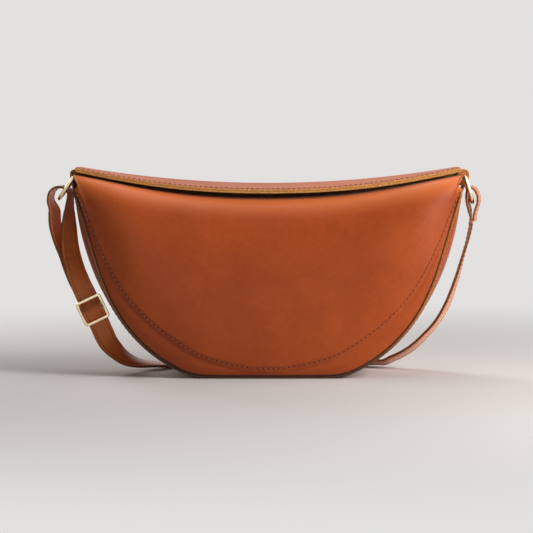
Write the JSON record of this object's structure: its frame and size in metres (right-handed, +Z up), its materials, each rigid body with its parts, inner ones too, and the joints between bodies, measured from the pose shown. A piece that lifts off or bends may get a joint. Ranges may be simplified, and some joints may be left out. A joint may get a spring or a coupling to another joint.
{
  "type": "shoulder bag",
  "caption": "Half-moon leather shoulder bag with a curved front pouch, magnetic top flap, side rings and a long adjustable strap with a slider.",
  "frame": {"origin": "centre of the base on the floor", "axes": "+X along the width to the viewer's right, +Y to the back, +Z up"},
  "size_m": [0.3372, 0.1495, 0.1622],
  "materials": {
    "front_leather": "smooth vegetable-tanned leather, tan",
    "body_leather": "smooth vegetable-tanned leather, tan",
    "gusset_leather": "smooth vegetable-tanned leather, tan",
    "lining_leather": "smooth leather with a raw edge",
    "base_board": "stiff suede-covered board",
    "tab_leather": "leather strip with raw edges",
    "strap_leather": "two layers of leather sewn together",
    "brass": "polished brass",
    "magnet_steel": "nickel-plated"
  },
  "bodies": {
    "bag": {"front_panel": "front_leather", "front_border": "body_leather", "front_facing": "lining_leather", "gusset": "gusset_leather", "back_panel": "body_leather", "flap_fold": "body_leather", "front_magnet": "magnet_steel", "slip_pocket": "lining_leather", "base_insert": "base_board", "tab_left": "tab_leather", "tab_right": "tab_leather", "strap_tail": "strap_leather", "strap_ring_turn": "strap_leather", "strap_front_run": "strap_leather", "strap_weave": "strap_leather", "strap_drop": "strap_leather", "strap_store": "strap_leather", "strap_right_run": "strap_leather", "strap_right_turn": "strap_leather"},
    "flap": {"flap_panel": "body_leather", "flap_lining": "lining_leather", "flap_magnet": "magnet_steel"},
    "ring_left": {"ring_left": "brass"},
    "ring_right": {"ring_right": "brass"},
    "slider": {"slider_frame": "brass", "slider_bar": "brass"}
  },
  "joints": [
    {"name": "flap_hinge", "type": "hinge", "parent": "bag", "child": "flap", "pos_m": [0, 0.014, 0.1505], "axis": [-1, 0, 0], "range_deg": [0, 100], "deforming": ["flap_fold"]},
    {"name": "ring_left_swing", "type": "hinge", "parent": "bag", "child": "ring_left", "pos_m": [-0.1508, 0, 0.1545], "axis": [0, 1, 0], "range_deg": [-4, 60], "deforming": ["strap_tail", "strap_ring_turn", "strap_front_run"]},
    {"name": "ring_right_swing", "type": "hinge", "parent": "bag", "child": "ring_right", "pos_m": [0.1532, 0, 0.1545], "axis": [0, -1, 0], "range_deg": [-4, 70], "deforming": ["strap_right_turn", "strap_right_run"]},
    {"name": "slider_slide", "type": "slide", "parent": "bag", "child": "slider", "axis": [0.4305, 0, -0.9026], "range_m": [-0.01, 0.01], "deforming": ["strap_weave", "strap_drop"]}
  ]
}
